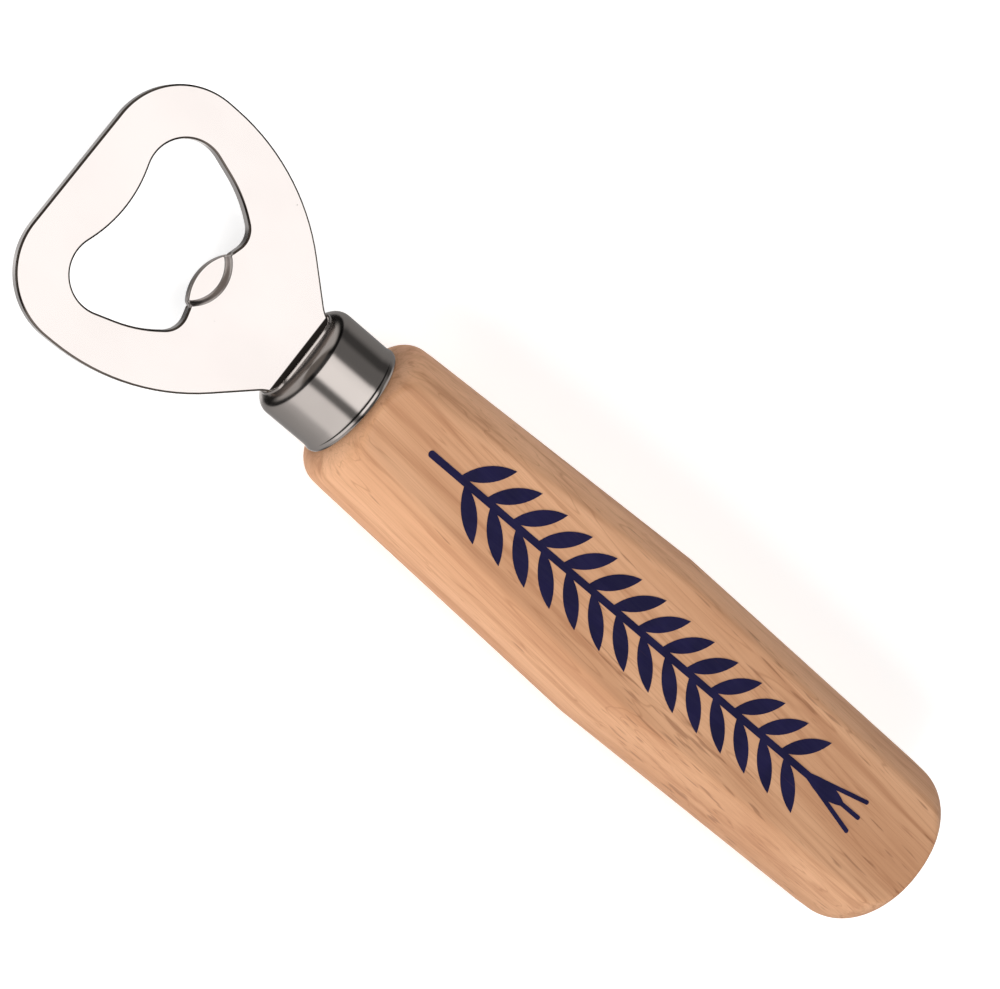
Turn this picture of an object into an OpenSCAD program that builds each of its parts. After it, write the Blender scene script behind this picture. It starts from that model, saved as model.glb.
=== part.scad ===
// Wooden-handled bottle opener, in millimetres.
// +X runs along the length towards the head, +Z is up. It lies on the lower flat of its handle,
// and the origin is under its middle.

/* [Overall] */
// Length from the far edge of the head to the butt
overall_length = 169.6; // [169:0.1:175]
// Length of the wood from its shoulder to the butt
handle_length = 117.3; // [116:0.1:118]
// Distance between the two milled flats of the handle
handle_thickness = 22; // [21:0.5:23]

/* [Head] */
// Thickness of the steel sheet
plate_thickness = 2.5; // [2:0.1:3]
// Width of the head where it is widest
head_width = 42; // [40:0.5:44]
// Radius of the two far corners
head_corner = 11.2; // [9:0.1:12.4]
// Radius of the two long curves that lead back to the neck
head_flank = 33; // [28:1:34]
// Width of the neck where it enters the ferrule
neck_width = 12.4; // [12:0.1:13]
// Radius of the fillets between head and neck
neck_fillet = 6; // [4:0.5:8]

/* [Cap hole] */
// Depth of the bar, from the far edge of the head to the crown of the bar's bulge
bar_depth = 8.8; // [8:0.1:9.2]
// Radius of the bulge that rests on the cap
bar_bulge = 20; // [16:1:20]
// Radius of the two lobes
lobe_radius = 5.6; // [5:0.1:5.6]
// Radius of the hole's two long sides
hole_side = 20; // [14:1:21]
// Radius of the notches either side of the tongue
notch_radius = 3.2; // [1.4:0.1:3.4]

/* [Tongue] */
// Distance from the far edge of the head to the tip of the tongue
tongue_tip = 22.8; // [22.4:0.1:23.2]
// Distance from the far edge of the head to the root of the tongue
tongue_root = 27; // [26.6:0.1:27.8]
// Width of the tongue between its two corners
tongue_width = 9.6; // [9:0.1:9.8]
// How far the tongue is pressed down out of the sheet
tongue_drop = 1.4; // [1:0.1:1.6]
// How far the wall behind the tongue leans back
tongue_draft = 0.6; // [0.3:0.1:0.8]

/* [Tang] */
// Width of the tang in the wood
tang_width = 8; // [7:0.5:9]
// Length of the tang in the wood
tang_length = 44; // [36:1:50]
// Radius of the keying notches in the tang's edges
tang_notch = 1.2; // [0.8:0.1:1.4]
// Distance between keying notches
tang_notch_pitch = 9; // [8:0.5:10]
// Gap between the tang and its slot, filled with resin
resin_gap = 0.4; // [0.3:0.1:0.6]

/* [Ferrule] */
// Length of the ferrule
ferrule_length = 11.3; // [11:0.1:12]
// Outside diameter of the ferrule
ferrule_diameter = 18.3; // [18:0.1:18.6]
// Thickness of the ferrule's wall
ferrule_wall = 0.8; // [0.7:0.1:1]
// Outside radius of the rounded front edge
ferrule_round = 2.3; // [1.8:0.1:2.6]
// Width of the bead round the base
bead_width = 0.9; // [0.7:0.1:1.2]
// How far the bead stands out
bead_height = 0.15; // [0.1:0.05:0.2]
// Diameter of the mouth across the plate's width
mouth_width = 13.6; // [13.4:0.1:13.8]
// Height of the mouth across the plate's thickness
mouth_height = 9.4; // [8:0.1:9.5]

/* [Handle] */
// Diameter of the shoulder before its edge is rounded
shoulder_diameter = 24.2; // [24:0.1:26]
// Radius of the shoulder's edge
shoulder_round = 3.6; // [3:0.1:3.8]
// Diameter at which the front and rear tapers of the barrel would meet
taper_diameter = 33.5; // [33:0.1:33.6]
// Radius of the long barrel curve between the tapers
barrel_curve = 800; // [700:10:810]
// Diameter of the butt before its edge is rounded
butt_diameter = 27.8; // [27.6:0.1:28.4]
// Radius of the butt's edge
butt_round = 6.3; // [5.5:0.1:7]
// How far the middle of the butt stands out
butt_crown = 0.6; // [0.2:0.1:1]
// Length of the tenon inside the ferrule
tenon_length = 6.5; // [6:0.1:7]

/* [Printed motif] */
// Number of pairs of grains on the ear
grain_pairs = 14; // [8:1:14]
// Distance between pairs of grains
grain_pitch = 5.2; // [4.6:0.1:5.2]
// Length of one grain
grain_length = 9; // [7:0.1:9.2]
// Width of one grain
grain_width = 2.4; // [1.8:0.1:2.6]
// Angle between a grain and the stem
grain_angle = 43; // [36:1:46]
// Width of the stem
stem_width = 1.1; // [0.8:0.1:1.4]
// Thickness of the ink
ink_thickness = 0.1; // [0.1:0.01:0.15]

/* [Hidden] */
$fn = 96;
chord_error = 0.01; // how far a rounded corner's chords may cut inside its arc
overlap = 0.2; // how far one solid of a union reaches into the next
cut_clear = 1; // how far a cutting tool runs past the face that it cuts
axis_height = handle_thickness / 2;
far_x = overall_length / 2;
shoulder_x = handle_length - overall_length / 2;
head_length = overall_length - handle_length;
ferrule_radius = ferrule_diameter / 2;
tenon_radius = ferrule_radius - ferrule_wall;
plug_length = 1.7; // resin between the tenon's face and the hollow behind the mouth
bead_round = 0.2; // radius of the bead's two edges
barrel_share = 0.483; // where the tapers would meet, as a share of the handle from its shoulder
plate_half = plate_thickness / 2;

// Head outline, measured back from the far edge of the head
flank_vertex = 25.3; // where the widest line and the flank's line to the neck would meet
neck_vertex = 41.7; // where the flank's line would meet the neck's edge
neck_end = head_length - tenon_length; // where the neck steps in to the tang
tang_end = neck_end + tang_length;
tang_point = 6; // length of the taper at the tang's end
tang_point_round = 4; // radius where that taper starts
blank_corner = 0.8; // radius of the blank's small corners, at the tang's end and the neck's step
tang_notch_count = 3; // keying notches on each side of the tang
first_notch = 1.2; // from the tang's start to the first notch, in pitches

// Cap hole outline, measured the same way
bar_slope = 0.33; // how fast the bar's edge falls back to the lobes
lobe_vertex = [4.17, 17.4]; // where the bar's edge and the hole's side would meet
side_vertex = [20.85, 12]; // where the hole's side turns in towards the tongue
notch_vertex = [25.6, 8.25]; // where the hole's side and the notch's edge would meet
tongue_corner = [24.6, tongue_width / 2];
tip_radius = arc_radius(tongue_corner[0] - tongue_tip, tongue_width);
root_radius = arc_radius(tongue_root - tongue_corner[0], tongue_width);

// Motif, measured back from the wood's shoulder
motif_start = 10.8;
bare_stem = 6; // stem before the first pair of grains
grain_stagger = 0.125; // how far the two grains of a pair stand apart from its middle, in pitches
awn_length = 12;
awn_width = 0.7;
awn_angles = [-13, 0, 13];

// Radius of the arc with this rise over this chord
function arc_radius(rise, chord) = (rise * rise + chord * chord / 4) / (2 * rise);

function unit(v) = v / norm(v);
function heading(v) = atan2(v[1], v[0]);
function within_half_turn(a) = a > 180 ? a - 360 : a < -180 ? a + 360 : a;

// Points along the arc of radius r that rounds corner b of the path a, b, c
function arc_points(a, b, c, r) =
    let (
        back = unit(a - b),
        ahead = unit(c - b),
        half = acos(back * ahead) / 2,
        centre = b + unit(back + ahead) * r / sin(half),
        first = heading(b + back * r / tan(half) - centre),
        sweep = within_half_turn(heading(b + ahead * r / tan(half) - centre) - first),
        steps = ceil(abs(sweep) / (2 * acos(1 - min(chord_error / r, 0.02))))
    )
    [for (i = [0:steps]) centre + r * [cos(first + sweep * i / steps), sin(first + sweep * i / steps)]];

// Points of a closed outline whose corners are [x, y, radius]
function rounded(corners) =
    let (last = len(corners) - 1, at = [for (c = corners) [c[0], c[1]]])
    [
        for (i = [0:last])
        let (r = corners[i][2])
        each r == 0 ? [at[i]] : arc_points(at[i == 0 ? last : i - 1], at[i], at[i == last ? 0 : i + 1], r)
    ];

// A half outline and its mirror image, as one closed path
function both_sides(half) =
    concat(half, [for (i = [len(half) - 1:-1:0]) [half[i][0], -half[i][1], half[i][2]]]);

// Head and tang outline, with X measured back from the far edge of the head
module plate_outline() {
    polygon(rounded(both_sides([
        [tang_end, tang_width / 4, blank_corner],
        [tang_end - tang_point, tang_width / 2, tang_point_round],
        [neck_end, tang_width / 2, 0],
        [neck_end, neck_width / 2, blank_corner],
        [neck_vertex, neck_width / 2, neck_fillet],
        [flank_vertex, head_width / 2, head_flank],
        [0, head_width / 2, head_corner],
    ])));
}

module cap_hole_outline() {
    polygon(rounded(concat(
        [[bar_depth + bar_bulge * (sqrt(1 + bar_slope * bar_slope) - 1), 0, bar_bulge]],
        both_sides([
            concat(lobe_vertex, lobe_radius),
            concat(side_vertex, hole_side),
            concat(notch_vertex, notch_radius),
            concat(tongue_corner, 0),
        ])
    )));
}

// Circles whose overlap is the lens-shaped tongue
module tip_circle() translate([tongue_tip + tip_radius, 0]) circle(r = tip_radius);
module root_circle() translate([tongue_root - root_radius, 0]) circle(r = root_radius);

module tang_notches() {
    centre_y = tang_width / 2 + tang_notch / 3;
    for (i = [0:tang_notch_count - 1], side = [-1, 1])
        translate([neck_end + (i + first_notch) * tang_notch_pitch, side * centre_y])
            circle(r = tang_notch);
}

// The flat blank: the tongue's tip stands into the cap hole
module plate_blank() {
    difference() {
        plate_outline();
        difference() {
            cap_hole_outline();
            intersection() {
                tip_circle();
                root_circle();
            }
        }
        tang_notches();
    }
}

// Sheet with its pressed tongue, on its own middle plane
module plate_solid() {
    difference() {
        union() {
            translate([0, 0, -plate_half]) linear_extrude(plate_thickness) plate_blank();
            translate([0, 0, -plate_half - tongue_drop])
                linear_extrude(tongue_drop + overlap)
                intersection() {
                    tip_circle();
                    root_circle();
                }
        }
        translate([tongue_root - root_radius, 0, plate_half - tongue_drop])
            cylinder(h = tongue_drop, r1 = root_radius - tongue_draft, r2 = root_radius);
    }
}

// Puts what is measured back from the head's far edge in its place
module from_far_edge() translate([far_x, 0, axis_height]) mirror([1, 0, 0]) children();

// Stands a turned profile [radius, distance] along +X or -X from the wood's shoulder
module turned(towards_head) {
    translate([shoulder_x, 0, axis_height])
        rotate([0, towards_head ? 90 : -90, 0])
            rotate_extrude() children();
}

module opener_plate() {
    color("gainsboro") from_far_edge() plate_solid();
}

module ferrule() {
    bead = ferrule_radius + bead_height;
    color("silver") difference() {
        turned(true) polygon(rounded([
            [tenon_radius, 0, 0],
            [bead, 0, bead_round],
            [bead, bead_width, bead_round],
            [ferrule_radius, bead_width + bead_height, 0],
            [ferrule_radius, ferrule_length, ferrule_round],
            [0, ferrule_length, 0],
            [0, ferrule_length - ferrule_wall, 0],
            [tenon_radius, ferrule_length - ferrule_wall, ferrule_round - ferrule_wall],
        ]));
        translate([shoulder_x + tenon_length, 0, axis_height]) intersection() {
            rotate([0, 90, 0]) cylinder(h = ferrule_length, d = mouth_width);
            translate([0, -mouth_width / 2, -mouth_height / 2])
                cube([ferrule_length, mouth_width, mouth_height]);
        }
    }
}

// Slot for the tang, cut from the tenon's face
module tang_slot() {
    slot_width = tang_width + 2 * resin_gap;
    slot_height = plate_thickness + 2 * resin_gap;
    slot_length = tang_length + resin_gap;
    slot_x = shoulder_x + tenon_length - slot_length;
    translate([slot_x, -slot_width / 2, axis_height - slot_height / 2])
        cube([slot_length, slot_width, slot_height]);
}

module handle() {
    color("burlywood") difference() {
        intersection() {
            union() {
                turned(false) polygon(rounded([
                    [0, 0, 0],
                    [shoulder_diameter / 2, 0, shoulder_round],
                    [taper_diameter / 2, handle_length * barrel_share, barrel_curve],
                    [butt_diameter / 2, handle_length - butt_crown, butt_round],
                    [0, handle_length, 0],
                ]));
                turned(true) translate([0, -overlap]) square([tenon_radius, tenon_length + overlap]);
            }
            translate([-far_x - cut_clear, -taper_diameter / 2, 0])
                cube([overall_length, taper_diameter, handle_thickness]);
        }
        tang_slot();
    }
}

module tang_glue() {
    color("#2b211b") difference() {
        union() {
            tang_slot();
            translate([shoulder_x + tenon_length, 0, axis_height])
                rotate([0, 90, 0]) cylinder(h = plug_length, r = tenon_radius);
        }
        from_far_edge() plate_solid();
    }
}

// One pointed grain, rising from the origin along +X
module grain(length) {
    side_radius = (length * length + grain_width * grain_width) / (4 * grain_width);
    intersection() {
        translate([length / 2, side_radius - grain_width / 2]) circle(r = side_radius);
        translate([length / 2, grain_width / 2 - side_radius]) circle(r = side_radius);
    }
}

// Ear of barley lying along the handle, with its tip towards the butt
module barley_ear() {
    ear_end = bare_stem + grain_pairs * grain_pitch;
    translate([0, -stem_width / 2]) square([ear_end + grain_length / 2, stem_width]);
    circle(d = stem_width);
    for (i = [0:grain_pairs - 1], side = [-1, 1])
        translate([bare_stem + (i + side * grain_stagger) * grain_pitch, 0])
            rotate(side * grain_angle) grain(grain_length);
    translate([ear_end, 0]) grain(grain_length);
    for (a = awn_angles)
        translate([ear_end, 0]) rotate(a) {
            translate([0, -awn_width / 2]) square([awn_length, awn_width]);
            translate([awn_length, 0]) circle(d = awn_width);
        }
}

module printed_motif() {
    color("midnightblue") translate([shoulder_x - motif_start, 0, handle_thickness])
        mirror([1, 0, 0]) linear_extrude(ink_thickness) barley_ear();
}

opener_plate();
ferrule();
handle();
tang_glue();
printed_motif();
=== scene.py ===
"""Looks of a wooden-handled bottle opener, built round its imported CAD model.

Shapes are worked out in millimetres, in the part's own frame, and become metres in add_piece().
+X runs towards the head, the key light comes from the +Y side, and +Z is up.
"""

import math

import bpy
import numpy as np
from mathutils import Matrix, Vector
from mathutils.geometry import delaunay_2d_cdt


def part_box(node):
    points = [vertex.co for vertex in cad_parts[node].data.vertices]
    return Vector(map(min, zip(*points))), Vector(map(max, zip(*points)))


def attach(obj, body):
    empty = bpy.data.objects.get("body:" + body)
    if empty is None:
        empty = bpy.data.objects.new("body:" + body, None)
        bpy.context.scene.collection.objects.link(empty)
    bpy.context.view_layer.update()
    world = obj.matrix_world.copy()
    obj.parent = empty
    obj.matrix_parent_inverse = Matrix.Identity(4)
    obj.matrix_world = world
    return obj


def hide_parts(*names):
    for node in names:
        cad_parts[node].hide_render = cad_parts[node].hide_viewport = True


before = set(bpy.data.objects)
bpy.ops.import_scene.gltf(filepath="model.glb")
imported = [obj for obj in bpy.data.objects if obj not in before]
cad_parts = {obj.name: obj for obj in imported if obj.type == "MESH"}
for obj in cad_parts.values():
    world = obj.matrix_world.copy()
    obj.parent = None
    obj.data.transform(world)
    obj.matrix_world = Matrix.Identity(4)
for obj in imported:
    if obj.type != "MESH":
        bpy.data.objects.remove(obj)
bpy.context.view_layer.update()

MM = 0.001


def box_mm(node):
    """Lowest and highest corner of a CAD node, in millimetres."""
    low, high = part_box(node)
    return low / MM, high / MM


handle_low, handle_high = box_mm("handle")
ferrule_low, ferrule_high = box_mm("ferrule")
plate_low, plate_high = box_mm("opener_plate")

# Places, from the CAD model
AXIS_Z = (handle_low.z + handle_high.z) / 2
HALF_FLAT = (handle_high.z - handle_low.z) / 2  # from the axis to a milled flat
SHOULDER_X = ferrule_low.x
BUTT_X = handle_low.x
FERRULE_X = ferrule_high.x  # front of the ferrule
TENON_X = handle_high.x
FAR_X = plate_high.x  # far edge of the head
TANG_X = plate_low.x
HEAD_HALF = plate_high.y
PLATE_TOP = plate_high.z
WOOD_LENGTH = SHOULDER_X - BUTT_X

# Plate
PLATE_THICKNESS = 2 * (PLATE_TOP - AXIS_Z)
PLATE_EDGE = 0.36  # radius of its eased edges
HEAD_CORNER = 11.2
HEAD_FLANK = 33
FLANK_VERTEX = 25.3
NECK_HALF = 6.2
NECK_VERTEX = 41.7
NECK_FILLET = 6
TANG_HALF = 4
TANG_POINT = 6  # length of the taper at the tang's end
TANG_POINT_ROUND = 4
BLANK_CORNER = 0.8
TANG_NOTCH = 1.2
TANG_NOTCH_PITCH = 9
TANG_NOTCH_COUNT = 3
FIRST_NOTCH = 1.2  # from the neck's end to the first notch, in pitches
BAR_DEPTH = 8.8
BAR_SLOPE = 0.33
BAR_BULGE = 20
# Corners of the cap hole: distance back from the far edge, distance from the middle, radius
LOBE = (4.17, 17.4, 5.6)
HOLE_SIDE = (20.85, 12, 20)
NOTCH = (25.6, 8.25, 3.2)
TONGUE_CORNER = (24.6, 4.8)  # sharp, so it has no radius
TONGUE_TIP = 22.8
TONGUE_ROOT = 27
TONGUE_DROP = AXIS_Z - PLATE_THICKNESS / 2 - plate_low.z
TONGUE_BEND = 0.85  # width of the slope behind the tongue
TONGUE_LEAN = 0.3  # how far the foot of the tip's face stands back

# Ferrule
FERRULE_RADIUS = 9.15
FERRULE_WALL = 0.8
FERRULE_ROUND = 2.3
BEAD_WIDTH = 1.0
BEAD_HEIGHT = ferrule_high.y - FERRULE_RADIUS
MOUTH_RADIUS = 6.8
MOUTH_HALF_HEIGHT = 4.7
MOUTH_EASE = 1.6  # how close to each other the mouth's flats and rounds start to blend
LIP_STAND = 0.35  # how far the rolled lip of the mouth stands out of the front face
LIP_DROP = (0.12, 0.17)  # how far beyond its crest the lip begins and ends its drop to the face
LIP_CLEAR = 7.45  # distance from the axis beyond which the front's rings are circles

# Handle
SHOULDER_RADIUS = 12.1
SHOULDER_ROUND = 3.6
BARREL_RADIUS = 16.75
BARREL_AT = 0.483 * WOOD_LENGTH
BARREL_CURVE = 800
BUTT_RADIUS = 13.9
BUTT_ROUND = 6.3
BUTT_CROWN = 0.6
BUTT_CENTRE = 0.35  # radius of the first ring round the butt's middle
TENON_RADIUS = FERRULE_RADIUS - FERRULE_WALL
TENON_ROUND = 0.3
FLAT_EASE = 0.55  # how far above and below a flat the milled edge is blended
RESIN_GAP = 0.4  # between the tang and its slot
SLOT_HALF_WIDTH = TANG_HALF + RESIN_GAP
SLOT_HALF_HEIGHT = PLATE_THICKNESS / 2 + RESIN_GAP
GRAIN_ANGLE = 4.6  # between the wood's grain and the handle's axis

# Camera, measured from the middle of the ferrule's base
CAMERA_OFFSET = (127.8, 62.6, 401.6)
CAMERA_AIM = (-27.0, -3.8, 0.0)
CAMERA_ROLL = 105.64
CAMERA_LENS = 106.07


# ---------------------------------------------------------------- outlines

def arc_points(corner, before, after, radius, turn):
    """Points of the arc that rounds a corner, a step of at most turn degrees apart."""
    back = (before - corner) / np.linalg.norm(before - corner)
    ahead = (after - corner) / np.linalg.norm(after - corner)
    half = math.acos(np.clip(back @ ahead, -1, 1)) / 2
    middle = (back + ahead) / np.linalg.norm(back + ahead)
    centre = corner + middle * radius / math.sin(half)
    start = corner + back * radius / math.tan(half) - centre
    end = corner + ahead * radius / math.tan(half) - centre
    first = math.atan2(start[1], start[0])
    sweep = math.atan2(start[0] * end[1] - start[1] * end[0], start @ end)
    steps = max(1, math.ceil(abs(math.degrees(sweep)) / turn))
    angles = first + sweep * np.arange(steps + 1) / steps
    return [centre + radius * np.array((math.cos(a), math.sin(a))) for a in angles]


def rounded(corners, closed, turn=4.0):
    """A path through corners (x, y, radius). The ends of an open path stay as they are."""
    at = [np.array(c[:2], float) for c in corners]
    points = []
    for i, corner in enumerate(corners):
        if corner[2] == 0 or (not closed and i in (0, len(corners) - 1)):
            points.append(at[i])
        else:
            points += arc_points(at[i], at[i - 1], at[(i + 1) % len(at)], corner[2], turn)
    return points


def subdivided(points, step, closed):
    """The same path with no segment longer than step."""
    result = []
    count = len(points) if closed else len(points) - 1
    for i in range(count):
        a, b = points[i], points[(i + 1) % len(points)]
        parts = max(1, math.ceil(np.linalg.norm(b - a) / step))
        result += [a + (b - a) * k / parts for k in range(parts)]
    return result if closed else result + [points[-1]]


def arc_radius(rise, chord):
    """Radius of the arc with this rise over this chord."""
    return (rise * rise + chord * chord / 4) / (2 * rise)


# ------------------------------------------------------------------ meshes

def add_piece(name, points, faces, node, material, sharp=None):
    """Makes a mesh piece from points in millimetres that stands for a CAD node."""
    mesh = bpy.data.meshes.new(name)
    mesh.from_pydata([tuple(p) for p in np.asarray(points) * MM], [], faces)
    mesh.validate()
    mesh.materials.append(material)
    mesh.shade_smooth()
    if sharp is not None:
        mesh.set_sharp_from_angle(angle=math.radians(sharp))
    piece = bpy.data.objects.new(name, mesh)
    bpy.context.scene.collection.objects.link(piece)
    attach(piece, "root")
    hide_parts(node)
    return piece


def ring_faces(rings, around):
    """Quads between rings of the same number of points. They face out if the profile runs towards +X."""
    faces = []
    for i in range(rings - 1):
        for j in range(around):
            k = (j + 1) % around
            here, ahead = i * around, (i + 1) * around
            faces.append((here + j, ahead + j, ahead + k, here + k))
    return faces


def turned_rings(profile, angles):
    """Rings round the handle's axis, from (x, radius) pairs. A radius may vary with the angle."""
    rings = []
    for x, radius in profile:
        r = np.broadcast_to(radius, angles.shape)
        ring = [np.full(angles.shape, x), r * np.sin(angles), r * np.cos(angles)]
        rings.append(np.stack(ring, axis=1))
    return rings


# ------------------------------------------------------------------ handle

def milled(z):
    """Height above the axis once the two flats are cut and their edges eased."""
    size = np.abs(z)
    over = np.clip(size - HALF_FLAT + FLAT_EASE, 0, 2 * FLAT_EASE)
    return np.sign(z) * np.where(
        size > HALF_FLAT + FLAT_EASE, HALF_FLAT, size - over * over / (4 * FLAT_EASE)
    )


def slot_radius(angles):
    """Distance from the axis to the side of the tang's slot."""
    across = SLOT_HALF_WIDTH / np.maximum(np.abs(np.sin(angles)), 1e-6)
    up = SLOT_HALF_HEIGHT / np.maximum(np.abs(np.cos(angles)), 1e-6)
    return np.minimum(across, up)


def build_handle(material):
    """The turned wood with its two flats, its tenon and the tang's slot, as one closed skin."""
    around = 240
    corner = math.atan2(SLOT_HALF_WIDTH, SLOT_HALF_HEIGHT)
    angles = np.arange(around) * 2 * math.pi / around
    for exact in (corner, math.pi - corner, math.pi + corner, 2 * math.pi - corner):
        angles[np.argmin(np.abs(angles - exact))] = exact
    outside = rounded([
        (BUTT_X, BUTT_CENTRE, 0),
        (BUTT_X + BUTT_CROWN, BUTT_RADIUS, BUTT_ROUND),
        (SHOULDER_X - BARREL_AT, BARREL_RADIUS, BARREL_CURVE),
        (SHOULDER_X, SHOULDER_RADIUS, SHOULDER_ROUND),
        (SHOULDER_X, TENON_RADIUS, TENON_ROUND / 3),
        (TENON_X, TENON_RADIUS, TENON_ROUND),
        (TENON_X, TENON_RADIUS - 5 * TENON_ROUND, 0),
    ], closed=False, turn=5)
    profile = [(p[0], p[1]) for p in subdivided(outside, step=1.3, closed=False)]
    slot = slot_radius(angles)
    bottom = TANG_X - RESIN_GAP
    profile += [(TENON_X, slot)]
    profile += [(x, slot) for x in np.linspace(TENON_X - 0.6, bottom, 14)]
    profile += [(bottom, slot * 0.4)]
    rings = turned_rings(profile, angles)
    points = np.concatenate(rings)
    points[:, 2] = AXIS_Z + milled(points[:, 2])
    faces = ring_faces(len(rings), around)
    last = (len(rings) - 1) * around
    butt, end = len(points), len(points) + 1
    points = np.vstack([points, (BUTT_X, 0, AXIS_Z), (bottom, 0, AXIS_Z)])
    faces += [(butt, j, (j + 1) % around) for j in range(around)]
    faces += [(end, last + (j + 1) % around, last + j) for j in range(around)]
    piece = add_piece("wooden_handle", points, faces, "handle", material, sharp=50)
    piece.visible_glossy = False  # the photo's steel shows no reflection of the wood


# ----------------------------------------------------------------- ferrule

def front_face(r, start, radius, front):
    """X of a ferrule face at distance r from the axis, where it rounds over beyond start."""
    over = np.clip(r - start, 0, radius)
    return front - radius + np.sqrt(radius * radius - over * over)


def round_over(front, start, radius, degrees):
    """Profile points round the edge of such a face, where 0 degrees is the face and 90 the side."""
    turns = [math.radians(d) for d in degrees]
    return [(front - radius * (1 - math.cos(a)), start + radius * math.sin(a)) for a in turns]


def mouth_radius(angles):
    """Distance from the axis to the mouth's edge, whose flats and rounds are blended where they meet."""
    flat_sided = MOUTH_HALF_HEIGHT / np.maximum(np.abs(np.cos(angles)), 1e-6)
    ease = np.clip(1 - np.abs(flat_sided - MOUTH_RADIUS) / MOUTH_EASE, 0, 1)
    return np.minimum(flat_sided, MOUTH_RADIUS) - MOUTH_EASE / 4 * ease * ease


def build_ferrule(material):
    """The cap: from its base along the inside, round the mouth's lip and back outside to the bead."""
    around = 192
    angles = np.arange(around) * 2 * math.pi / around
    lip = FERRULE_WALL / 2
    start = FERRULE_RADIUS - FERRULE_ROUND
    inner_round = FERRULE_ROUND - FERRULE_WALL
    outer_front = FERRULE_X - LIP_STAND
    inner_front = outer_front - FERRULE_WALL

    def inside(r):
        return front_face(r, start, inner_round, inner_front)

    def outside(r):
        return front_face(r, start, FERRULE_ROUND, outer_front)

    profile = [(SHOULDER_X + 0.1, TENON_RADIUS), (SHOULDER_X + 4, TENON_RADIUS)]
    profile += round_over(inner_front, start, inner_round, range(90, 25, -8))
    crest = mouth_radius(angles) + lip
    for share in (1, 0.6, 0.3):
        r = crest + share * (LIP_CLEAR - crest)
        profile.append((inside(r), r))
    back = inside(crest) + lip
    front = outside(crest) + LIP_STAND - lip
    for degrees in range(-90, 91, 15):
        a = math.radians(degrees)
        middle = back if degrees < 0 else front
        profile.append((middle + lip * math.sin(a), crest - lip * math.cos(a)))
    drop = crest + LIP_DROP[0]
    profile.append((outside(drop) + LIP_STAND * 0.85, drop))
    foot = crest + LIP_DROP[1]
    for share in (0, 0.4, 0.7, 1):
        r = foot + share * (LIP_CLEAR - foot)
        profile.append((outside(r), r))
    first = math.degrees(math.asin((LIP_CLEAR - start) / FERRULE_ROUND))
    profile += round_over(outer_front, start, FERRULE_ROUND, np.linspace(first, 90, 16)[1:])
    side_end = SHOULDER_X + BEAD_WIDTH
    side_start = outer_front - FERRULE_ROUND
    profile += [(x, FERRULE_RADIUS) for x in np.linspace(side_start, side_end, 8)[1:-1]]
    for share in np.linspace(0, 1, 13):
        swell = BEAD_HEIGHT * math.sin(math.pi * share) ** 0.8
        profile.append((side_end - BEAD_WIDTH * share, FERRULE_RADIUS + swell))
    profile.append((SHOULDER_X, TENON_RADIUS + 0.15))
    rings = turned_rings(profile, angles)
    points = np.concatenate(rings)
    points[:, 2] += AXIS_Z
    faces = ring_faces(len(rings), around)
    last = (len(rings) - 1) * around
    for j in range(around):
        k = (j + 1) % around
        faces.append((last + j, j, k, last + k))
    faces = [tuple(reversed(f)) for f in faces]  # the profile runs forward inside and back outside
    piece = add_piece("steel_ferrule", points, faces, "ferrule", material, sharp=40)
    piece.visible_glossy = False  # the photo's plate shows no reflection of the ferrule


# ------------------------------------------------------------------- plate

TIP_RADIUS = arc_radius(TONGUE_CORNER[0] - TONGUE_TIP, 2 * TONGUE_CORNER[1])
ROOT_RADIUS = arc_radius(TONGUE_ROOT - TONGUE_CORNER[0], 2 * TONGUE_CORNER[1])
TIP_CENTRE = np.array((FAR_X - TONGUE_TIP - TIP_RADIUS, 0))
ROOT_CENTRE = np.array((FAR_X - TONGUE_ROOT + ROOT_RADIUS, 0))


def from_far_edge(corners):
    """Corners measured back from the far edge of the head, put in the part's frame."""
    return [(FAR_X - c[0], c[1], c[2]) for c in corners]


def mirrored(half):
    """A half outline and its mirror image across the long axis, as one path."""
    return half + [(c[0], -c[1], c[2]) for c in reversed(half)]


def plate_outline():
    """Outline of head and tang, anticlockwise seen from above."""
    neck_end = FAR_X - TENON_X
    tang_end = FAR_X - TANG_X
    half = [
        (tang_end, TANG_HALF / 2, BLANK_CORNER),
        (tang_end - TANG_POINT, TANG_HALF, TANG_POINT_ROUND),
    ]
    depth = TANG_NOTCH * 2 / 3
    for i in reversed(range(TANG_NOTCH_COUNT)):
        middle = neck_end + (i + FIRST_NOTCH) * TANG_NOTCH_PITCH
        half += [
            (middle + TANG_NOTCH, TANG_HALF, 0.45),
            (middle + TANG_NOTCH / 2, TANG_HALF - depth, 0.5),
            (middle - TANG_NOTCH / 2, TANG_HALF - depth, 0.5),
            (middle - TANG_NOTCH, TANG_HALF, 0.45),
        ]
    half += [
        (neck_end, TANG_HALF, BLANK_CORNER / 2),
        (neck_end, NECK_HALF, BLANK_CORNER),
        (NECK_VERTEX, NECK_HALF, NECK_FILLET),
        (FLANK_VERTEX, HEAD_HALF, HEAD_FLANK),
        (0, HEAD_HALF, HEAD_CORNER),
    ]
    points = rounded(from_far_edge(mirrored(half)), closed=True, turn=3)
    return list(reversed(points))


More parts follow.
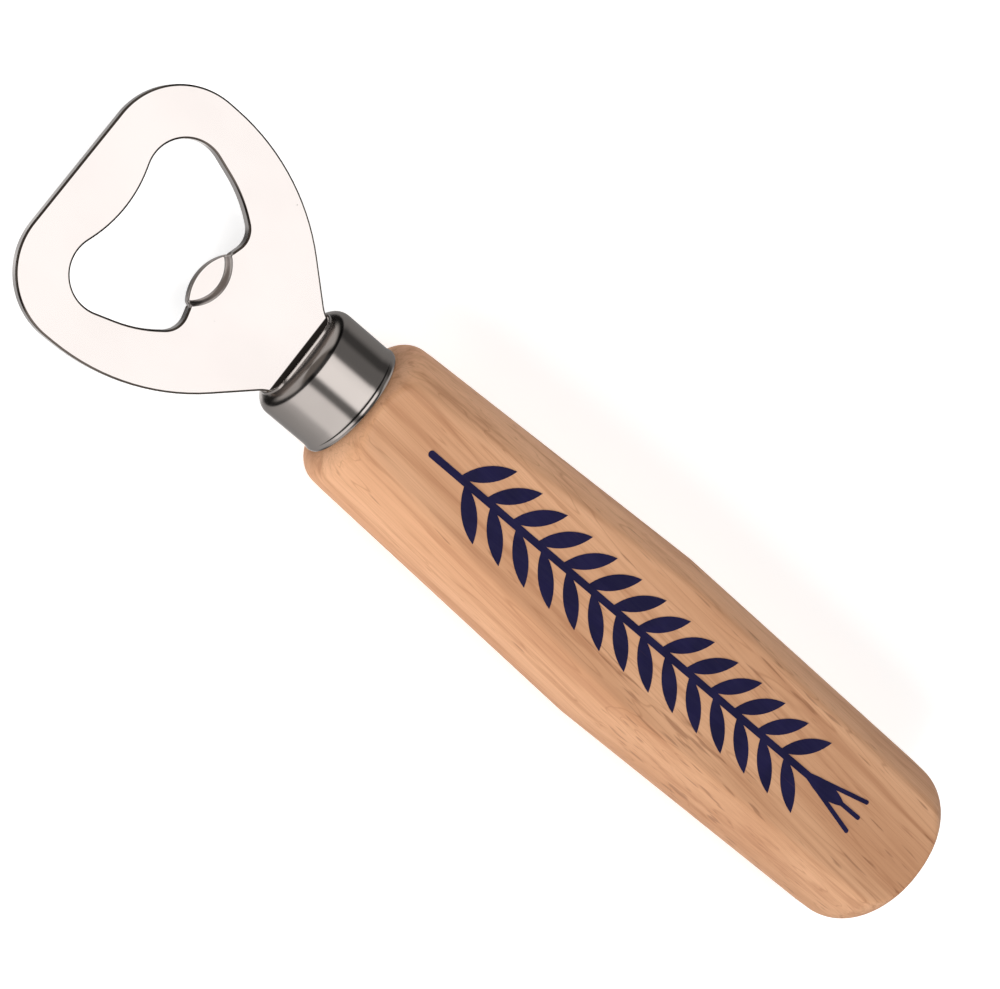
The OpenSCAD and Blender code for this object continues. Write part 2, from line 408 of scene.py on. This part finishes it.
def hole_outline():
    """Outline of the cap hole with the tongue's tip standing into it, clockwise seen from above."""
    crown = (BAR_DEPTH + BAR_BULGE * (math.hypot(1, BAR_SLOPE) - 1), 0, BAR_BULGE)
    half = [LOBE, HOLE_SIDE, NOTCH, TONGUE_CORNER + (0,)]
    points = rounded(from_far_edge([crown] + mirrored(half)), closed=True, turn=3)
    corner = math.atan2(TONGUE_CORNER[1], FAR_X - TONGUE_CORNER[0] - TIP_CENTRE[0])
    tip = [
        TIP_CENTRE + TIP_RADIUS * np.array((math.cos(a), math.sin(a)))
        for a in np.linspace(corner, -corner, 46)[1:-1]
    ]
    at = next(i for i, p in enumerate(points) if abs(p[0] - FAR_X + TONGUE_CORNER[0]) < 1e-6)
    points = points[:at + 1] + tip + points[at + 1:]
    return list(reversed(points))


def edge_normals(loop):
    """Unit normals that point out of the sheet, and how much longer a mitred offset is."""
    p = np.array(loop)
    along = np.roll(p, -1, axis=0) - p
    along /= np.linalg.norm(along, axis=1)[:, None]
    out = np.stack([along[:, 1], -along[:, 0]], axis=1)
    both = out + np.roll(out, 1, axis=0)
    both /= np.linalg.norm(both, axis=1)[:, None]
    mitre = 1 / np.clip(np.sum(both * out, axis=1), 0.6, 1)
    return both, mitre


def pressed_down(xy):
    """How far the pressing moves the sheet down at each point, and the slope of that."""
    away = xy - ROOT_CENTRE
    distance = np.linalg.norm(away, axis=1)
    share = np.clip((ROOT_RADIUS - distance) / TONGUE_BEND, 0, 1)
    # the root's circle also reaches past the tongue, where nothing is pressed
    near = (xy[:, 0] < FAR_X - TONGUE_TIP + 1.7) & (np.abs(xy[:, 1]) < TONGUE_CORNER[1] + 0.5)
    share = np.where(near, share, 0)
    depth = TONGUE_DROP * share * share * (3 - 2 * share)
    rate = -TONGUE_DROP * 6 * share * (1 - share) / TONGUE_BEND
    slope = away / distance[:, None] * rate[:, None]
    return depth, slope


def distance_to(loop, points):
    """Distance from each point to a closed loop."""
    a = np.array(loop)
    b = np.roll(a, -1, axis=0)
    span = b - a
    offset = points[:, None, :] - a[None]
    share = np.clip(np.sum(offset * span, axis=2) / np.sum(span * span, axis=1), 0, 1)
    return np.min(np.linalg.norm(offset - share[:, :, None] * span, axis=2), axis=1)


def within(loop, points):
    """True for points inside a closed loop."""
    a = np.array(loop)
    b = np.roll(a, -1, axis=0)
    x, y = points[:, None, 0], points[:, None, 1]
    crosses = (a[:, 1] > y) != (b[:, 1] > y)
    span = np.where(np.abs(b[:, 1] - a[:, 1]) < 1e-12, 1e-12, b[:, 1] - a[:, 1])
    at = a[:, 0] + (y - a[:, 1]) * (b[:, 0] - a[:, 0]) / span
    return np.sum(crosses & (x < at), axis=1) % 2 == 1


def bend_points(hole):
    """Points on the sheet along the bend behind the tongue, clear of the hole's edge."""
    points = []
    # inward is measured from the arc of the tongue's root, where the bend starts
    for inward in (-0.4, -0.02, 0.1, 0.2, 0.3, 0.425, 0.55, 0.65, 0.75, 0.87, 1.2, 1.7, 2.4):
        r = ROOT_RADIUS - inward
        reach = math.asin(min(1, TONGUE_CORNER[1] / r))
        for a in np.arange(-reach, reach, 0.28 / r):
            points.append(ROOT_CENTRE + r * np.array((-math.cos(a), math.sin(a))))
    points = np.array(points)
    clear = distance_to(hole, points) > PLATE_EDGE + 0.14
    return points[clear & ~within(hole, points)]


def eased_edges(loops):
    """Rings of points round each outline, over the sheet's eased edges from its top to its bottom."""
    eased = [math.radians(a) for a in (90, 67.5, 45, 22.5, 0)]
    half = PLATE_THICKNESS / 2
    rows = [(a, 1) for a in eased] + [(a, -1) for a in reversed(eased)]
    points, normals, faces, tops, bottoms = [], [], [], [], []
    for loop in loops:
        out, mitre = edge_normals(loop)
        count, first = len(loop), sum(len(p) for p in points)
        for angle, side in rows:
            inset = PLATE_EDGE * (1 - math.cos(angle))
            xy = np.array(loop) - out * (inset * mitre)[:, None]
            z = side * (half - PLATE_EDGE * (1 - math.sin(angle)))
            rise = np.full(count, side * math.sin(angle))
            points.append(np.column_stack([xy, np.full(count, z)]))
            normals.append(np.column_stack([out * math.cos(angle), rise]))
        for i in range(len(rows) - 1):
            for j in range(count):
                k = (j + 1) % count
                a, b = first + i * count, first + (i + 1) * count
                faces.append((a + j, b + j, b + k, a + k))
        tops.append([first + j for j in range(count)])
        bottoms.append([first + (len(rows) - 1) * count + j for j in range(count)])
    return np.concatenate(points), np.concatenate(normals), faces, tops, bottoms


def face_triangles(sheet, outer_count, hole_count):
    """Triangles of a flat face, whose outline comes first in sheet, then the hole's, then the rest."""
    bound = []
    for start, count in ((0, outer_count), (outer_count, hole_count)):
        bound += [(start + j, start + (j + 1) % count) for j in range(count)]
    result = delaunay_2d_cdt([Vector(p) for p in sheet], bound, [], 0, 1e-7)
    if len(result[0]) != len(sheet):
        raise ValueError("the plate's outline touches itself")
    triangles = np.array(result[2])
    middle = sheet[triangles].mean(axis=1)
    outer, hole = np.split(sheet[:outer_count + hole_count], [outer_count])
    return triangles[within(outer, middle) & ~within(hole, middle)]


def press_tongue(points, normals):
    """Presses the tongue out of the flat sheet and lifts the sheet to the handle's axis, in place."""
    depth, slope = pressed_down(points[:, :2])
    ahead = np.linalg.norm(points[:, :2] - TIP_CENTRE, axis=1) - TIP_RADIUS
    at_tip = (depth > 0) & (np.abs(ahead) < PLATE_EDGE + 0.1)
    down = PLATE_THICKNESS / 2 - points[:, 2]
    points[:, 0] -= np.where(at_tip, TONGUE_LEAN * down / PLATE_THICKNESS, 0)
    points[:, 2] += AXIS_Z - depth
    normals[:, :2] += slope * normals[:, 2:]
    normals /= np.linalg.norm(normals, axis=1)[:, None]


def build_plate(material):
    """The sheet: eased edges round both outlines, joined by a flat face above and one below."""
    hole = subdivided(hole_outline(), step=0.6, closed=True)
    points, normals, faces, tops, bottoms = eased_edges([plate_outline(), hole])
    inner = bend_points(hole)
    sheet = np.concatenate([points[tops[0], :2], points[tops[1], :2], inner])
    triangles = face_triangles(sheet, len(tops[0]), len(tops[1]))
    for side, ring in ((1, tops), (-1, bottoms)):
        base = len(points)
        level = np.full(len(inner), side * PLATE_THICKNESS / 2)
        points = np.vstack([points, np.column_stack([inner, level])])
        normals = np.vstack([normals, np.tile((0, 0, float(side)), (len(inner), 1))])
        index = np.array(ring[0] + ring[1] + list(range(base, base + len(inner))))
        faces += [tuple(int(v) for v in t[::side]) for t in index[triangles]]
    press_tongue(points, normals)
    piece = add_piece("pressed_steel_plate", points, faces, "opener_plate", material)
    piece.data.normals_split_custom_set_from_vertices([tuple(n) for n in normals])


# --------------------------------------------------------------- materials

class Nodes:
    """Short calls for the shader nodes of a material or a world."""

    def __init__(self, owner):
        owner.use_nodes = True
        self.tree = owner.node_tree
        self.coordinates = self.tree.nodes.new("ShaderNodeTexCoord")

    def put(self, socket, value):
        """Links a socket to another, or sets its value."""
        if isinstance(value, bpy.types.NodeSocket):
            self.tree.links.new(value, socket)
        else:
            socket.default_value = value

    def math_vector(self, operation, a, b=None, scale=None):
        node = self.tree.nodes.new("ShaderNodeVectorMath")
        node.operation = operation
        self.put(node.inputs[0], a)
        if b is not None:
            self.put(node.inputs[1], b)
        if scale is not None:
            self.put(node.inputs["Scale"], scale)
        return node.outputs["Vector"]

    def split(self, vector):
        """X, Y and Z of a vector."""
        node = self.tree.nodes.new("ShaderNodeSeparateXYZ")
        self.put(node.inputs[0], vector)
        return node.outputs["X"], node.outputs["Y"], node.outputs["Z"]

    def math(self, operation, a, b=0.0, clamp=False):
        node = self.tree.nodes.new("ShaderNodeMath")
        node.operation = operation
        node.use_clamp = clamp
        self.put(node.inputs[0], a)
        self.put(node.inputs[1], b)
        return node.outputs[0]

    def between(self, value, low, high, to_low=0.0, to_high=1.0):
        """value's range low to high, smoothly mapped to another."""
        node = self.tree.nodes.new("ShaderNodeMapRange")
        node.interpolation_type = "SMOOTHSTEP"
        self.put(node.inputs["Value"], value)
        limits = {"From Min": low, "From Max": high, "To Min": to_low, "To Max": to_high}
        for name, number in limits.items():
            self.put(node.inputs[name], number)
        return node.outputs["Result"]

    def mix(self, share, a, b, blend="MIX"):
        node = self.tree.nodes.new("ShaderNodeMix")
        node.data_type = "RGBA"
        node.blend_type = blend
        self.put(node.inputs["Factor"], share)
        self.put(node.inputs[6], a)
        self.put(node.inputs[7], b)
        return node.outputs[2]

    def ramp(self, value, low, high, stops, tint=(1, 1, 1)):
        """A colour ramp over value's range low to high, with stops (value, brightness)."""
        share = self.tree.nodes.new("ShaderNodeMapRange")
        self.put(share.inputs["Value"], value)
        self.put(share.inputs["From Min"], low)
        self.put(share.inputs["From Max"], high)
        node = self.tree.nodes.new("ShaderNodeValToRGB")
        self.put(node.inputs[0], share.outputs[0])
        elements = node.color_ramp.elements
        while len(elements) > 1:
            elements.remove(elements[-1])
        for i, (at, level) in enumerate(stops):
            position = (at - low) / (high - low)
            stop = elements[0] if i == 0 else elements.new(position)
            stop.position = position
            stop.color = (level * tint[0], level * tint[1], level * tint[2], 1)
        return node.outputs[0]


class Surface(Nodes):
    """The nodes of a new material, with place as the point on the object in millimetres."""

    def __init__(self, name):
        self.material = bpy.data.materials.new(name)
        super().__init__(self.material)
        self.shader = self.tree.nodes["Principled BSDF"]
        self.place = self.math_vector("SCALE", self.coordinates.outputs["Object"], scale=1 / MM)

    def noise(self, per_mm, detail=2.0, rough=0.5, distort=0.0, shift=(0, 0, 0)):
        """Noise whose features repeat per_mm times a millimetre along x, y and z."""
        scaled = self.math_vector("MULTIPLY", self.place, per_mm)
        moved = self.math_vector("ADD", scaled, shift)
        node = self.tree.nodes.new("ShaderNodeTexNoise")
        self.put(node.inputs["Vector"], moved)
        self.put(node.inputs["Scale"], 1.0)
        self.put(node.inputs["Detail"], detail)
        self.put(node.inputs["Roughness"], rough)
        self.put(node.inputs["Distortion"], distort)
        return node.outputs["Fac"]

    def bump(self, height, depth_mm, strength):
        node = self.tree.nodes.new("ShaderNodeBump")
        self.put(node.inputs["Strength"], strength)
        self.put(node.inputs["Distance"], depth_mm * MM)
        self.put(node.inputs["Height"], height)
        return node.outputs["Normal"]


def srgb(red, green, blue):
    """A colour given as eight-bit screen values, in the renderer's linear light."""
    return tuple(((c / 255 + 0.055) / 1.055) ** 2.4 for c in (red, green, blue)) + (1.0,)


def polished_steel(n, tint, dull, rough, brush):
    """Polished steel: fine polishing lines, faint smears and a few specks. Returns its colour."""
    smear = n.noise((0.05, 0.07, 0.07), detail=3)
    speck = n.between(n.noise((0.9, 0.9, 0.9), detail=1, shift=(7, 3, 1)), 0.80, 0.84)
    lines = n.noise(brush, detail=3, rough=0.6)
    colour = n.mix(n.between(smear, 0.35, 0.75), tint, dull)
    colour = n.mix(n.math("MULTIPLY", speck, 0.6), colour, srgb(120, 110, 105))
    roughness = n.math("ADD", n.between(smear, 0.3, 0.7, rough, rough * 1.5),
                       n.math("MULTIPLY", lines, 0.04))
    n.put(n.shader.inputs["Roughness"], roughness)
    n.put(n.shader.inputs["Metallic"], 1.0)
    n.put(n.shader.inputs["Normal"], n.bump(lines, 0.002, 0.25))
    return colour


def off_tongue(n, x, y):
    """1 away from the tongue, 0 on it and on its edges."""
    root, tip = FAR_X - TONGUE_ROOT - 0.3, FAR_X - TONGUE_TIP + 0.3
    beside = n.between(n.math("ABSOLUTE", y), TONGUE_CORNER[1], TONGUE_CORNER[1] + 0.2)
    behind = n.between(x, root - 0.1, root, 1.0, 0.0)
    ahead = n.between(x, tip, tip + 0.1)
    return n.math("MAXIMUM", beside, n.math("MAXIMUM", behind, ahead))


def plate_steel():
    """Bright sheet with a painted dark reflection and shade on its rounded edges. The tang, behind the
    ferrule's front, is painted dark as the ferrule's shade.
    """
    n = Surface("polished_plate")
    colour = polished_steel(n, srgb(252, 245, 242), srgb(248, 241, 238), 0.10, (0.6, 9.0, 9.0))
    x, y, _ = n.split(n.place)
    level = n.math("ABSOLUTE", n.split(n.coordinates.outputs["Normal"])[2])
    # painted dark reflection and shade on the eased edges, where the normal leans between flat and
    # upright
    eased = n.math("MULTIPLY", n.between(level, 0.15, 0.35), n.between(level, 0.965, 0.998, 1.0, 0.0))
    colour = n.mix(n.math("MULTIPLY", eased, off_tongue(n, x, y)), colour, srgb(128, 118, 110))
    # painted shade: the plate inside the ferrule's mouth is darkened to stand for the ferrule's shadow
    painted_ferrule_shade = n.between(x, FERRULE_X - 0.25, FERRULE_X - 0.1, 1.0, 0.0)
    n.put(n.shader.inputs["Base Color"], n.mix(painted_ferrule_shade, colour, srgb(34, 31, 28)))
    return n.material


def ferrule_steel():
    """Slightly darker polished steel, with its polishing lines round the axis."""
    n = Surface("polished_ferrule")
    colour = polished_steel(n, srgb(217, 209, 204), srgb(208, 200, 195), 0.11, (9.0, 0.8, 0.8))
    n.put(n.shader.inputs["Base Color"], colour)
    return n.material


def wood_pores(n, along):
    """Short dark pores: denser towards the butt, weaker on end grain."""
    where = n.noise((0.025, 0.13, 0.13), detail=1, shift=(6, 2, 4))
    open_grain = n.math("ADD", where, n.between(along, BUTT_X, SHOULDER_X - 15, 0.13, -0.08))
    pore = n.noise((0.16, 1.7, 1.7), detail=1, rough=0.4, shift=(5, 5, 1))
    limit = n.between(open_grain, 0.40, 0.68, 0.76, 0.61)
    pores = n.math("MULTIPLY", n.math("SUBTRACT", pore, limit), 12.0, clamp=True)
    facing = n.math("ABSOLUTE", n.split(n.coordinates.outputs["Normal"])[0])
    return n.math("MULTIPLY", pores, n.between(facing, 0.4, 0.8, 1.0, 0.3))


def lacquered_wood(name):
    """Pale reddish hardwood with its grain nearly along X, dark pores and a satin lacquer."""
    n = Surface(name)
    along = n.split(n.place)[0]
    turned = n.tree.nodes.new("ShaderNodeMapping")
    turned.inputs["Rotation"].default_value = (0, 0, math.radians(GRAIN_ANGLE))
    n.put(turned.inputs["Vector"], n.place)
    n.place = turned.outputs[0]
    tone = n.noise((0.011, 0.09, 0.14), detail=3, rough=0.55, distort=0.5)
    streak = n.noise((0.022, 0.55, 0.55), detail=4, rough=0.62, distort=0.4, shift=(0, 4, 9))
    fibre = n.noise((0.09, 3.2, 3.2), detail=3, rough=0.6)
    ring = n.noise((0.009, 0.26, 0.26), detail=1, distort=1.0, shift=(2, 8, 3))
    bands = n.math("ABSOLUTE", n.math("SINE", n.math("MULTIPLY", ring, 30.0)))
    colour = n.mix(n.between(tone, 0.34, 0.66), srgb(234, 181, 140), srgb(213, 158, 118))
    colour = n.mix(n.between(streak, 0.48, 0.70, 0.0, 0.60), colour, srgb(185, 128, 91))
    colour = n.mix(n.between(bands, 0.0, 0.26, 0.40, 0.0), colour, srgb(176, 118, 80))
    colour = n.mix(n.between(fibre, 0.35, 0.75, 0.0, 0.30), colour, srgb(190, 134, 97))
    pores = wood_pores(n, along)
    colour = n.mix(n.math("MULTIPLY", pores, 0.5), colour, srgb(140, 88, 59))
    shade = n.between(along, BUTT_X, SHOULDER_X - 10, 0.885, 1.03)
    colour = n.mix(1.0, colour, shade, "MULTIPLY")
    relief = n.math("SUBTRACT", n.math("MULTIPLY", fibre, 0.3), pores)
    n.put(n.shader.inputs["Base Color"], colour)
    n.put(n.shader.inputs["Roughness"], n.between(streak, 0.3, 0.7, 0.42, 0.54))
    n.put(n.shader.inputs["Specular IOR Level"], 0.4)
    n.put(n.shader.inputs["Normal"], n.bump(relief, 0.03, 0.5))
    return n.material


def printed_ink(name):
    """Matt navy print that lets a little of the grain through."""
    n = Surface(name)
    grain = n.noise((0.15, 3.0, 3.0), detail=2)
    patch = n.noise((0.25, 0.25, 0.25), detail=2)
    colour = n.mix(n.between(patch, 0.3, 0.7), srgb(20, 17, 56), srgb(27, 23, 66))
    colour = n.mix(n.between(grain, 0.66, 0.8, 0.0, 0.35), colour, srgb(66, 52, 72))
    n.put(n.shader.inputs["Base Color"], colour)
    n.put(n.shader.inputs["Roughness"], n.between(grain, 0.3, 0.7, 0.5, 0.65))
    n.put(n.shader.inputs["Specular IOR Level"], 0.25)
    n.put(n.shader.inputs["Normal"], n.bump(grain, 0.01, 0.3))
    return n.material


def dark_resin(name):
    """Nearly black filler with a slightly uneven face."""
    n = Surface(name)
    lumps = n.noise((0.6, 0.6, 0.6), detail=3)
    n.put(n.shader.inputs["Base Color"], n.mix(lumps, srgb(22, 18, 16), srgb(44, 36, 31)))
    n.put(n.shader.inputs["Roughness"], n.between(lumps, 0.3, 0.7, 0.4, 0.65))
    n.put(n.shader.inputs["Normal"], n.bump(lumps, 0.15, 0.6))
    return n.material


# ------------------------------------------------------------------ studio

# The surroundings that the steel mirrors: (degrees round X from straight up, + towards +Y; brightness)
STUDIO = [
    (-180, 0.80), (-174, 0.75), (-169, 0.32), (-150, 0.22), (-112, 0.20), (-104, 0.16), (-92, 0.05),
    (-76, 0.05), (-66, 0.14), (-38, 0.13), (-30, 0.95), (-15, 1.06), (12, 1.06), (19, 0.14),
    (31, 0.12), (38, 0.86), (78, 0.84), (90, 0.50), (112, 0.38), (150, 0.29), (168, 0.32),
    (174, 0.75), (180, 0.80),
]
# The same by how far a direction leans towards +X: (lean, share of the brightness above)
STUDIO_ENDS = [
    (-0.60, 0.10), (-0.42, 1.0), (0.19, 1.0), (0.26, 0.04), (0.55, 0.04), (0.78, 0.15), (1.0, 0.15),
]
POLE = (0.55, 0.75)  # leans between which the brightness stops changing round X
POLE_COLOUR = (1.0, 0.91, 0.84, 1)
STUDIO_TINT = (1, 0.985, 0.975)
# Plain grey sides, which the steel mirrors when it is seen from behind
SIDE_GREY = (0.44, 0.43, 0.42, 1)
SIDE_RISE = (40, 66)  # degrees round X over which they fade in
SIDE_FALL = (150, 115)  # and out again further round
SIDE_LEAN = (0.42, 0.66)  # leans over which they fade in
WHITE = (0.97, 0.97, 0.97, 1)  # what the camera sees behind the table
FLOOR_GLOW = (0.5, 0.8)  # of the table, under the handle and under the head


def build_studio():
    """Surroundings for steel to mirror. The camera itself sees plain white behind the object."""
    world = bpy.data.worlds.new("studio")
    bpy.context.scene.world = world
    n = Nodes(world)
    lean, y, z = n.split(n.coordinates.outputs["Generated"])
    degrees = n.math("DEGREES", n.math("ARCTAN2", y, z))
    colour = n.ramp(degrees, -180, 180, STUDIO, STUDIO_TINT)
    colour = n.mix(n.between(lean, *POLE), colour, POLE_COLOUR)
    colour = n.mix(1.0, colour, n.ramp(lean, -1, 1, STUDIO_ENDS), "MULTIPLY")
    turn = n.math("ABSOLUTE", degrees)
    round_x = n.math("MULTIPLY", n.between(turn, *SIDE_RISE), n.between(turn, *SIDE_FALL))
    sides = n.math("MULTIPLY", round_x, n.between(n.math("ABSOLUTE", lean), *SIDE_LEAN))
    colour = n.mix(sides, colour, SIDE_GREY)
    lit = n.tree.nodes["Background"]
    n.put(lit.inputs["Color"], colour)
    plain = n.tree.nodes.new("ShaderNodeBackground")
    n.put(plain.inputs["Color"], WHITE)
    seen = n.tree.nodes.new("ShaderNodeLightPath")
    either = n.tree.nodes.new("ShaderNodeMixShader")
    n.put(either.inputs[0], seen.outputs["Is Camera Ray"])
    n.put(either.inputs[1], lit.outputs[0])
    n.put(either.inputs[2], plain.outputs[0])
    n.put(n.tree.nodes["World Output"].inputs["Surface"], either.outputs[0])


def add_softbox(name, place, size, power):
    """A square area light aimed at the object, in metres. Steel mirrors the studio instead of it."""
    light = bpy.data.lights.new(name, "AREA")
    light.shape = "SQUARE"
    light.size = size
    light.energy = power
    lamp = bpy.data.objects.new(name, light)
    bpy.context.scene.collection.objects.link(lamp)
    lamp.location = place
    lamp.rotation_euler = (-Vector(place)).to_track_quat("-Z", "Y").to_euler()
    lamp.visible_glossy = False
    lamp.visible_camera = False


def build_floor():
    """A white table that glows a little, so that shadows on it stay faint. Steel doesn't mirror it."""
    n = Surface("white_table")
    tone = n.mix(n.noise((0.01, 0.01, 0.01)), (0.90, 0.90, 0.90, 1), (0.92, 0.92, 0.92, 1))
    n.put(n.shader.inputs["Base Color"], tone)
    n.put(n.shader.inputs["Roughness"], 0.9)
    n.put(n.shader.inputs["Emission Color"], tone)
    along = n.split(n.place)[0]
    glow = n.between(along, SHOULDER_X - 20, FERRULE_X + 15, *FLOOR_GLOW)
    n.put(n.shader.inputs["Emission Strength"], glow)
    reach = 3.0  # metres from the origin to each side
    mesh = bpy.data.meshes.new("floor")
    corners = [(-reach, -reach, 0), (reach, -reach, 0), (reach, reach, 0), (-reach, reach, 0)]
    mesh.from_pydata(corners, [], [(0, 1, 2, 3)])
    mesh.materials.append(n.material)
    floor = bpy.data.objects.new("floor", mesh)
    bpy.context.scene.collection.objects.link(floor)
    floor.visible_glossy = False


def build_camera():
    """The photograph's point of view."""
    base = Vector((SHOULDER_X, 0, AXIS_Z))
    place = (base + Vector(CAMERA_OFFSET)) * MM
    aim = (base + Vector(CAMERA_AIM)) * MM
    data = bpy.data.cameras.new("camera")
    data.lens = CAMERA_LENS
    data.sensor_width = 36
    data.clip_start = 0.01
    camera = bpy.data.objects.new("camera", data)
    bpy.context.scene.collection.objects.link(camera)
    straight = (aim - place).to_track_quat("-Z", "Y").to_matrix().to_4x4()
    roll = Matrix.Rotation(math.radians(CAMERA_ROLL), 4, "Z")
    camera.matrix_world = Matrix.Translation(place) @ straight @ roll
    bpy.context.scene.camera = camera


def dress(node, material):
    """Gives a CAD node that stays visible its finished material."""
    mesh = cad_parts[node].data
    mesh.materials.clear()
    mesh.materials.append(material)


build_camera()
build_studio()
build_floor()
add_softbox("key_light", (0.1, 1.0, 0.8), 0.8, 8.2)
add_softbox("fill_light", (-0.1, -0.3, 1.3), 1.0, 5.2)
bpy.context.scene.view_settings.view_transform = "Standard"

build_plate(plate_steel())
build_ferrule(ferrule_steel())
build_handle(lacquered_wood("lacquered_wood"))
dress("printed_motif", printed_ink("printed_ink"))
dress("tang_glue", dark_resin("dark_resin"))
